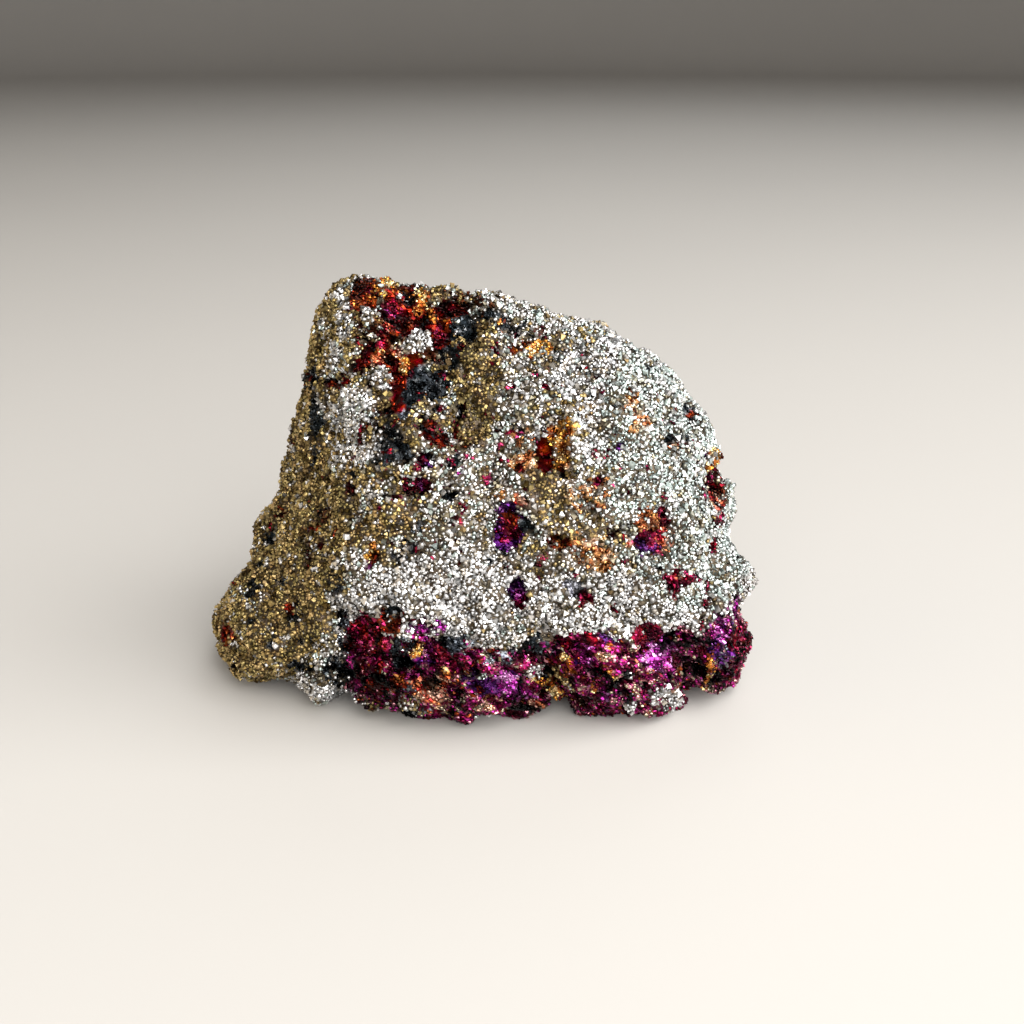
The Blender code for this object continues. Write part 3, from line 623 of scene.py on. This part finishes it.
def hidden_patches(found, points, bare, hidden):
    """Openings and tints on the sides that the photograph doesn't show, in the same style."""
    wide = relief(points, 4.5, 21)
    fine = relief(points, 1.8, 22)
    kind = relief(points, 7.0, 23)
    open_here = hidden & ~bare & (wide + 0.6 * fine > OPENING_LIMIT)
    for low, high, name in OPENING_MINERALS:
        found[open_here & (kind >= low) & (kind < high)] = NAMES.index(name)
    tint = wide + 0.4 * fine
    for low, high, name in HIDDEN_TINTS:
        found[hidden & bare & (tint >= low) & (tint < high)] = NAMES.index(name)


def pick_colours(points, found, random):
    """A colour for each grain, chip or cell from its mineral's own, alike in small patches."""
    patch = relief(points, 1.1, 41) + 0.5 * relief(points, 0.5, 42)
    order = patch + random.normal(0.0, 0.22, len(points))
    level = np.argsort(np.argsort(order)) / len(points)
    colours = np.zeros((len(found), 3))
    for number, name in enumerate(NAMES):
        here = np.flatnonzero(found == number)
        shares = np.cumsum([share for share, _ in MINERALS[name]])
        choices = np.array([colour for _, colour in MINERALS[name]])
        row = np.searchsorted(shares / shares[-1], level[here]).clip(0, len(choices) - 1)
        colours[here] = choices[row]
    return colours * random.normal(1.0, 0.15, (len(found), 1)).clip(0.5, 1.4)


def array_mesh(name, points, triangles, smooth):
    """A mesh object from arrays, in millimetres. Smooth tells which triangles are shaded so."""
    mesh = bpy.data.meshes.new(name)
    mesh.vertices.add(len(points))
    mesh.vertices.foreach_set("co", (points * MM).astype(np.float32).ravel())
    mesh.loops.add(triangles.size)
    mesh.loops.foreach_set("vertex_index", triangles.astype(np.int32).ravel())
    mesh.polygons.add(len(triangles))
    mesh.polygons.foreach_set("loop_start", np.arange(0, triangles.size, 3, dtype=np.int32))
    mesh.polygons.foreach_set("use_smooth", smooth)
    mesh.update(calc_edges=True)
    thing = bpy.data.objects.new(name, mesh)
    bpy.context.scene.collection.objects.link(thing)
    return thing


def add_colours(mesh, colours, dullness):
    """The tint of each point, with how dull it is from 0 to 1 beside it."""
    layer = mesh.color_attributes.new("tint", "FLOAT_COLOR", "POINT")
    rgba = np.column_stack((colours.clip(0.0, 1.0), dullness)).astype(np.float32)
    layer.data.foreach_set("color", rgba.ravel())


def body_surface():
    """The stone's solid with a fine, even, smooth mesh: points, triangles and normals."""
    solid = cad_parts[NODE]
    fine = bpy.data.objects.new("fine", solid.data.copy())
    bpy.context.scene.collection.objects.link(fine)
    remesh = fine.modifiers.new("remesh", "REMESH")
    remesh.mode = "VOXEL"
    remesh.voxel_size = VOXEL * MM
    smooth = fine.modifiers.new("smooth", "SMOOTH")
    smooth.factor = 0.5
    smooth.iterations = SMOOTHING
    triangulate = fine.modifiers.new("triangulate", "TRIANGULATE")
    triangulate.quad_method = "SHORTEST_DIAGONAL"
    graph = bpy.context.evaluated_depsgraph_get()
    mesh = fine.evaluated_get(graph).to_mesh()
    points = np.empty(len(mesh.vertices) * 3)
    mesh.vertices.foreach_get("co", points)
    triangles = np.empty(len(mesh.polygons) * 3, np.int32)
    mesh.polygons.foreach_get("vertices", triangles)
    bpy.data.objects.remove(fine)
    points = points.reshape(-1, 3) / MM
    triangles = triangles.reshape(-1, 3)
    points = rounded_ridge(points, triangles)
    return points, triangles, normals_of(points, triangles)


def rounded_ridge(points, triangles):
    """The points with the ridge between the left face and the front worn round."""
    u, v = view_place(points)
    middle_u, middle_v, half_width, half_height = RIDGE_PLACE
    away = ((u - middle_u) / half_width) ** 2 + ((v - middle_v) / half_height) ** 2
    pull = 0.5 * (1.0 - smooth_step(away, 0.5, 1.0)) * (points[:, 1] < 0.0)
    pairs = triangles[:, [0, 1, 1, 2, 2, 0]].reshape(-1, 2)
    shares = np.bincount(pairs[:, 0], minlength=len(points)).clip(1)
    for _ in range(RIDGE_ROUNDS):
        for axis in range(3):
            mean = np.bincount(pairs[:, 0], points[pairs[:, 1], axis], len(points)) / shares
            points[:, axis] += pull * (mean - points[:, axis])
    return points


def normals_of(points, triangles):
    corner = points[triangles]
    flat = np.cross(corner[:, 1] - corner[:, 0], corner[:, 2] - corner[:, 0])
    total = np.zeros_like(points)
    for i in range(3):
        np.add.at(total, triangles[:, i], flat)
    return total / np.linalg.norm(total, axis=1)[:, None].clip(1e-12)


def triangle_areas(points, triangles):
    first, second, third = (points[triangles[:, i]] for i in range(3))
    return 0.5 * np.linalg.norm(np.cross(second - first, third - first), axis=1)


def nearest_cells(points, size, area, random):
    """The cell that each point lies in, its offset from the cell's middle, how near it lies to the
    cell's border, from 0 to 1, and the number of cells."""
    seeds = points[random.choice(len(points), int(area / size**2), replace=False)]
    tree = KDTree(len(seeds))
    for number, seed in enumerate(seeds):
        tree.insert(seed, number)
    tree.balance()
    pairs = [tree.find_n(p, 2) for p in points]
    nearest = np.array([first[1] for first, _ in pairs])
    further = np.array([second[2] - first[2] for first, second in pairs])
    border = 1.0 - smooth_step(further / size, 0.0, 0.32)
    return nearest, points - seeds[nearest], border, len(seeds)


def chip_relief(points, area, random):
    """Height of flat broken chips, longer along GRAIN_LINE, and each point's painted shade: deeper in a
    crease, plus a random amount per cell that stands for its block facing towards or away from the
    light.
    """
    line = GRAIN_LINE / np.linalg.norm(GRAIN_LINE)
    pressed = points - np.outer(points @ line, line) * (1.0 - 1.0 / LINE_STRETCH)
    height = np.zeros(len(points))
    crease = np.zeros(len(points))
    for size, tilt, step, cut in CHIP_CELLS:
        cell, offset, border, count = nearest_cells(pressed, size, area, random)
        slopes = random.normal(0.0, tilt, (count, 3))
        levels = random.uniform(-step, step, count)
        height += (offset * slopes[cell]).sum(axis=1).clip(-0.5 * size, 0.5 * size) + levels[cell]
        height -= cut * border
        # Painted shade: darker near a cell's border, and lighter or darker per cell as if each block
        # faced the light differently.
        crease += 2.0 * cut * border + random.uniform(-0.3, 0.3, count)[cell]
    return height.clip(*CHIP_REACH), crease


def crust_relief(points, area, random):
    """Height of the crust's rounded lumps, and how deep in a crease between lumps each point is."""
    height = np.zeros(len(points))
    crease = np.zeros(len(points))
    for size, rise in CRUST_LUMPS:
        cell, offset, border, count = nearest_cells(points, size, area, random)
        away = np.linalg.norm(offset, axis=1) / size
        levels = random.uniform(-0.3, 0.3, count)[cell]
        height += rise * (0.35 + levels - 0.9 * away**2)
        crease += 0.5 * border
    return height, crease


def make_body(random):
    """The stone's own surface, and its points, triangles, normals and minerals."""
    points, triangles, normals = body_surface()
    found = minerals_at(points, normals)
    crust = is_crust(found)
    area = triangle_areas(points, triangles).sum()
    chips, chip_shade = chip_relief(points, area, random)
    lumps, crease = crust_relief(points, area, random)
    height = np.where(crust, lumps, chips - BARE_SUNK)
    crease = np.where(crust, crease - 0.25 * relief(points, 5.0, 71), chip_shade)
    height = np.where(found == NAMES.index("facet"), -BARE_SUNK, height)
    raised = np.isin(found, (NAMES.index("gold"), NAMES.index("copper")))
    height = np.where(raised, 0.5 * chips + GOLD_RAISED, height)
    crease = np.where(raised, 0.3 * crease, crease)
    above = smooth_step(points[:, 2], 0.0, 0.8)
    points = points + normals * (height * above)[:, None]
    points[:, 2] = points[:, 2].clip(0.0)
    body = array_mesh("stone_body", points, triangles, np.full(len(triangles), True))
    colours = pick_colours(points, found, random)
    # Painted shade: the bare ore's body is darker in creases and per block; under the crust it takes
    # the dark gap colour, painted shade between the grains.
    colours = np.where(crust[:, None], np.array(GAP_SHADE), colours * (0.8 - 0.6 * crease[:, None]))
    add_colours(body.data, colours, np.full(len(points), 0.6))
    cube_map(body.data, points, triangles)
    return body, points, triangles, normals_of(points, triangles), found, crease


def is_crust(found):
    return np.isin(found, [NAMES.index(name) for name in ("crust", "brassy", "silver", "frost")])


def faceted_shapes(count, random):
    """Small closed crystals with flat faces: points and triangles of each, about 1 across."""
    cube = np.array([(x, y, z) for x in (-1, 1) for y in (-1, 1) for z in (-1, 1)]) / math.sqrt(3.0)
    octahedron = np.vstack((np.eye(3), -np.eye(3)))
    forms = (cube, octahedron, octahedron[:5], octahedron)
    shapes = []
    for number in range(count):
        corners = forms[number % 4] + random.normal(0.0, 0.17, forms[number % 4].shape)
        corners *= random.uniform(0.48, 0.62) / np.linalg.norm(corners, axis=1)[:, None]
        shape = bmesh.new()
        for corner in corners:
            shape.verts.new(corner)
        bmesh.ops.convex_hull(shape, input=shape.verts)
        bmesh.ops.triangulate(shape, faces=shape.faces)
        bmesh.ops.recalc_face_normals(shape, faces=shape.faces)
        shape.verts.index_update()
        shapes.append((
            np.array([vert.co for vert in shape.verts]),
            np.array([[vert.index for vert in face.verts] for face in shape.faces]),
        ))
        shape.free()
    return shapes


def spread_out(points, spacing, order):
    """Indexes of points picked in this order, each at least its spacing from those before it."""
    tree = KDTree(len(points))
    for number, point in enumerate(points):
        tree.insert(point, number)
    tree.balance()
    free = np.ones(len(points), bool)
    picked = []
    for number in order:
        if free[number]:
            picked.append(number)
            for _, other, _ in tree.find_range(points[number], spacing[number]):
                free[other] = False
    return np.array(picked)


def sample_surface(points, triangles, normals, found, crease, count, random):
    """Random places on the surface, with their normals, minerals and depths in creases."""
    area = triangle_areas(points, triangles)
    face = random.choice(len(triangles), count, p=area / area.sum())
    a, b = random.random((2, count, 1))
    flip = a + b > 1.0
    a, b = np.where(flip, 1.0 - a, a), np.where(flip, 1.0 - b, b)
    first, second, third = (points[triangles[face, i]] for i in range(3))
    spots = first + a * (second - first) + b * (third - first)
    number = triangles[face, 0]
    return spots, normals[number], found[number], crease[number]


def random_turns(count, random):
    """Random rotation matrices."""
    q = random.normal(size=(count, 4))
    w, x, y, z = (q / np.linalg.norm(q, axis=1)[:, None]).T
    return np.stack((
        np.stack((1 - 2 * (y * y + z * z), 2 * (x * y - w * z), 2 * (x * z + w * y)), axis=1),
        np.stack((2 * (x * y + w * z), 1 - 2 * (x * x + z * z), 2 * (y * z - w * x)), axis=1),
        np.stack((2 * (x * z - w * y), 2 * (y * z + w * x), 1 - 2 * (x * x + y * y)), axis=1),
    ), axis=1)


def turns_along(normals, line, wobble, random):
    """Rotations whose z axis is about the normal and whose x axis is about the line."""
    z = normals + random.normal(0.0, wobble, normals.shape)
    z /= np.linalg.norm(z, axis=1)[:, None]
    x = line + random.normal(0.0, wobble, normals.shape)
    x -= (x * z).sum(axis=1)[:, None] * z
    x /= np.linalg.norm(x, axis=1)[:, None]
    return np.stack((x, np.cross(z, x), z), axis=2)


def cell_map(mesh, count):
    """A map for baking, with each pair of triangles in a small square of its own."""
    layer = mesh.uv_layers.new(name="OFBake")
    side = math.ceil(math.sqrt(count / 2.0))
    number = np.arange(count)
    cell = number // 2
    lower = ((0.08, 0.08), (0.82, 0.08), (0.08, 0.82))
    upper = ((0.92, 0.92), (0.18, 0.92), (0.92, 0.18))
    corner = np.array((lower, upper))
    places = corner[number % 2] + np.stack((cell % side, cell // side), axis=1)[:, None, :]
    layer.uv.foreach_set("vector", (places / side).astype(np.float32).ravel())


def cube_map(mesh, points, triangles):
    """A map for baking with six charts, by the side of the middle that each triangle lies on."""
    middle = 0.5 * (points.min(axis=0) + points.max(axis=0))
    away = ((points - middle) / np.ptp(points, axis=0))[triangles]
    centre = away.mean(axis=1)
    axis = np.abs(centre).argmax(axis=1)
    side = centre[np.arange(len(centre)), axis] > 0.0
    depth = np.abs(np.take_along_axis(away, axis[:, None, None], axis=2))
    others = np.array(((1, 2), (0, 2), (0, 1)))[axis]
    flat = np.take_along_axis(away, others[:, None, :], axis=2) / depth
    chart = np.stack((axis, side), axis=1)[:, None, :]
    places = (0.5 + 0.42 * flat.clip(-1.15, 1.15) + chart) / (3.0, 2.0)
    layer = mesh.uv_layers.new(name="OFBake")
    layer.uv.foreach_set("vector", places.astype(np.float32).ravel())


def set_in(name, spots, ways, turns, sizes, colours, dullness, shapes, random):
    """One piece: a faceted crystal at every spot, darker towards its root as painted shade."""
    kind = random.integers(0, len(shapes), len(spots))
    rounded = random.random(len(spots)) < ROUNDED_SHARE
    all_points, all_triangles, all_colours, all_dullness, all_rounded = [], [], [], [], []
    start = 0
    for number, (corners, faces) in enumerate(shapes):
        here = np.flatnonzero(kind == number)
        placed = np.einsum("nij,nkj->nki", turns[here], corners[None] * sizes[here][:, None, :])
        out = np.einsum("nij,nj->ni", placed, ways[here]) / sizes[here].mean(axis=1)[:, None]
        # Painted shade: each grain's corners are darker the nearer they lie to its root.
        shade = ROOT_SHADE + (1.0 - ROOT_SHADE) * smooth_step(out, -0.35, 0.25)
        placed += spots[here][:, None, :]
        all_points.append(placed.reshape(-1, 3))
        steps = start + np.arange(len(here))[:, None, None] * len(corners)
        all_triangles.append((faces[None] + steps).reshape(-1, 3))
        all_colours.append((colours[here][:, None, :] * shade[:, :, None]).reshape(-1, 3))
        all_dullness.append(np.repeat(dullness[here], len(corners)))
        all_rounded.append(np.repeat(rounded[here], len(faces)))
        start += len(here) * len(corners)
    points = np.vstack(all_points)
    points[:, 2] = points[:, 2].clip(0.0)
    triangles = np.vstack(all_triangles)
    thing = array_mesh(name, points, triangles, np.concatenate(all_rounded))
    add_colours(thing.data, np.vstack(all_colours), np.concatenate(all_dullness))
    cell_map(thing.data, len(triangles))
    return thing


def new_material(name):
    material = bpy.data.materials.new(name)
    material.use_nodes = True
    nodes = material.node_tree.nodes
    return material, nodes, material.node_tree.links, nodes["Principled BSDF"]


def noise_node(nodes, links, scale, detail=3.0):
    """Noise fixed to the stone. Scale is per millimetre."""
    place = nodes.new("ShaderNodeTexCoord")
    texture = nodes.new("ShaderNodeTexNoise")
    texture.inputs["Scale"].default_value = scale / MM
    texture.inputs["Detail"].default_value = detail
    links.new(place.outputs["Object"], texture.inputs["Vector"])
    return texture


def ranged(nodes, links, socket, low, high, to_low, to_high):
    node = nodes.new("ShaderNodeMapRange")
    for name, value in (("From Min", low), ("From Max", high), ("To Min", to_low), ("To Max", to_high)):
        node.inputs[name].default_value = value
    links.new(socket, node.inputs["Value"])
    return node.outputs["Result"]


def metal(name, roughness, hue_drift, tarnish, bump, coat):
    """Tinted metal: its colour drifts and darkens in specks, and its shine and height vary."""
    material, nodes, links, shader = new_material(name)
    tint = nodes.new("ShaderNodeAttribute")
    tint.attribute_name = "tint"
    drift = nodes.new("ShaderNodeHueSaturation")
    broad = noise_node(nodes, links, 0.9)
    hue = ranged(nodes, links, broad.outputs["Fac"], 0.3, 0.7, 0.5 - hue_drift, 0.5 + hue_drift)
    links.new(hue, drift.inputs["Hue"])
    links.new(tint.outputs["Color"], drift.inputs["Color"])
    speck = noise_node(nodes, links, 4.0)
    darkened = ranged(nodes, links, speck.outputs["Fac"], 0.35, 0.6, tarnish, 1.0)
    links.new(darkened, drift.inputs["Value"])
    links.new(drift.outputs["Color"], shader.inputs["Base Color"])
    shader.inputs["Metallic"].default_value = 1.0
    dull = ranged(nodes, links, tint.outputs["Alpha"], 0.0, 1.0, *roughness)
    links.new(dull, shader.inputs["Roughness"])
    fine = noise_node(nodes, links, 6.0, 4.0)
    lift = nodes.new("ShaderNodeBump")
    lift.inputs["Distance"].default_value = bump * MM
    lift.inputs["Strength"].default_value = 1.0
    links.new(fine.outputs["Fac"], lift.inputs["Height"])
    links.new(lift.outputs["Normal"], shader.inputs["Normal"])
    shader.inputs["Coat Weight"].default_value = coat
    shader.inputs["Coat Roughness"].default_value = COAT_ROUGHNESS
    return material


def dress(thing, material, body="root"):
    thing.data.materials.append(material)
    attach(thing, body)


def make_grains(points, triangles, normals, found, crease, random):
    """Every grain and chip on the stone."""
    samples = sample_surface(points, triangles, normals, found, crease, CANDIDATES, random)
    off_base = (samples[0][:, 2] > 0.25) | (samples[1][:, 2] > -0.5)
    spots, ways, kinds, deep = (values[off_base] for values in samples)
    table = [GRAINING.get(name, CHIPS) for name in NAMES]
    largest = np.where(is_crust(kinds), LARGEST_CRUST_GRAIN, LARGEST_CHIP)
    vary = random.lognormal(0.0, SIZE_SPREAD, len(spots)).clip(LEAST_SIZE, largest)
    spacing = np.array([row[0] for row in table])[kinds] * vary
    kept = spread_out(spots, spacing, random.permutation(len(spots)))
    smooth_face = kinds[kept] == NAMES.index("facet")
    kept = kept[~smooth_face | (random.random(len(kept)) < FACET_GRAINS)]
    spots, ways, kinds, deep, vary = (values[kept] for values in (spots, ways, kinds, deep, vary))
    size = np.array([row[1] for row in table])[kinds] * vary
    axes = np.array([row[2] for row in table])[kinds] * size[:, None]
    along = np.array([row[3] for row in table])[kinds]
    turns = np.where(
        along[:, None, None],
        turns_along(ways, GRAIN_LINE / np.linalg.norm(GRAIN_LINE), WOBBLE, random),
        random_turns(len(spots), random),
    )
    spots = spots + ways * (size * STANDS_OUT)[:, None]
    crust = is_crust(kinds)
    colours = pick_colours(spots, kinds, random)
    # Painted shade: grains are darker in creases and, on bare ore, per block.
    colours *= (1.0 - CREASE_SHADE * deep)[:, None]
    dullness = random.random(len(spots))
    dullness[kinds == NAMES.index("brassy")] **= BRASSY_DULLNESS
    shapes = faceted_shapes(SHAPE_COUNT, random)
    quarter = ((np.degrees(np.arctan2(spots[:, 0], -spots[:, 1])) + 45.0) // 90.0).astype(int) % 4
    pieces = []
    for number, side in enumerate(CRUST_PARTS):
        here = crust & (quarter == number)
        chosen = (values[here] for values in (spots, ways, turns, axes, colours, dullness))
        pieces.append(set_in("crust_" + side, *chosen, shapes, random))
    front = quarter == 0
    for name, here in (("bare_ore_front", ~crust & front), ("bare_ore_sides", ~crust & ~front)):
        chosen = (values[here] for values in (spots, ways, turns, axes, colours, dullness))
        pieces.append(set_in(name, *chosen, shapes, random))
    return pieces


def make_floor():
    """A pale round floor, in metres, that curves up into a wall all round."""
    profile = [(0.0, 0.0), (0.3, 0.0), (FLOOR_RADIUS, 0.0)]
    for step in range(1, CURVE_STEPS + 1):
        a = math.radians(step * 90.0 / CURVE_STEPS)
        profile.append((FLOOR_RADIUS + WALL_CURVE * math.sin(a), WALL_CURVE * (1.0 - math.cos(a))))
    profile.append((FLOOR_RADIUS + WALL_CURVE, WALL_HEIGHT))
    turns = np.radians(np.arange(FLOOR_SECTORS) * 360.0 / FLOOR_SECTORS)
    points = np.array([(r * math.cos(a), r * math.sin(a), z) for r, z in profile for a in turns]) / MM
    triangles = []
    for ring in range(len(profile) - 1):
        for i in range(FLOOR_SECTORS):
            a = FLOOR_SECTORS * ring + i
            b = FLOOR_SECTORS * ring + (i + 1) % FLOOR_SECTORS
            if ring:
                triangles.append((a, b, a + FLOOR_SECTORS))
            triangles.append((b, b + FLOOR_SECTORS, a + FLOOR_SECTORS))
    floor = array_mesh("floor", points, np.array(triangles), np.full(len(triangles), True))
    material, nodes, links, shader = new_material("floor")
    broad = noise_node(nodes, links, 0.004)
    colour = nodes.new("ShaderNodeMix")
    colour.data_type = "RGBA"
    colour.inputs["A"].default_value = FLOOR_TONES[0]
    colour.inputs["B"].default_value = FLOOR_TONES[1]
    links.new(broad.outputs["Fac"], colour.inputs["Factor"])
    links.new(colour.outputs["Result"], shader.inputs["Base Color"])
    shader.inputs["Roughness"].default_value = FLOOR_ROUGHNESS
    shader.inputs["Specular IOR Level"].default_value = FLOOR_SHINE
    floor.data.materials.append(material)


def make_lights():
    for name, azimuth, elevation, distance, size, power, colour in LIGHTS:
        lamp = bpy.data.lights.new(name, "AREA")
        lamp.shape = "DISK"
        lamp.size = size
        lamp.energy = power
        lamp.color = colour
        light = bpy.data.objects.new(name, lamp)
        away = Vector(direction(azimuth, elevation))
        light.location = Vector(AIM * MM) + away * distance
        light.rotation_euler = away.to_track_quat("Z", "Y").to_euler()
        bpy.context.scene.collection.objects.link(light)
    world = bpy.data.worlds.new("room")
    world.use_nodes = True
    world.node_tree.nodes["Background"].inputs["Color"].default_value = (*WORLD, 1.0)
    bpy.context.scene.world = world


def set_picture():
    """Plain colours, with neither a film curve nor a look."""
    settings = bpy.context.scene.view_settings
    settings.view_transform = "Standard"
    settings.look = "None"
    settings.exposure = 0.0


def make_camera():
    lens = bpy.data.cameras.new("camera")
    lens.lens = LENS
    lens.clip_start = 0.005
    camera = bpy.data.objects.new("camera", lens)
    away = Vector(TOWARDS_CAMERA)
    camera.location = Vector(AIM * MM) + away * VIEW_DISTANCE * MM
    camera.rotation_euler = away.to_track_quat("Z", "Y").to_euler()
    bpy.context.scene.collection.objects.link(camera)
    bpy.context.scene.camera = camera


def main():
    random = np.random.default_rng(SEED)
    body, points, triangles, normals, found, crease = make_body(random)
    crust_metal = metal(*CRUST_METAL)
    bare_metal = metal(*BARE_METAL)
    dress(body, metal(*BODY_METAL))
    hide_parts(NODE)
    for piece in make_grains(points, triangles, normals, found, crease, random):
        dress(piece, bare_metal if piece.name.startswith("bare") else crust_metal)
    make_floor()
    make_lights()
    make_camera()
    set_picture()


main()
bpy.context.view_layer.update()
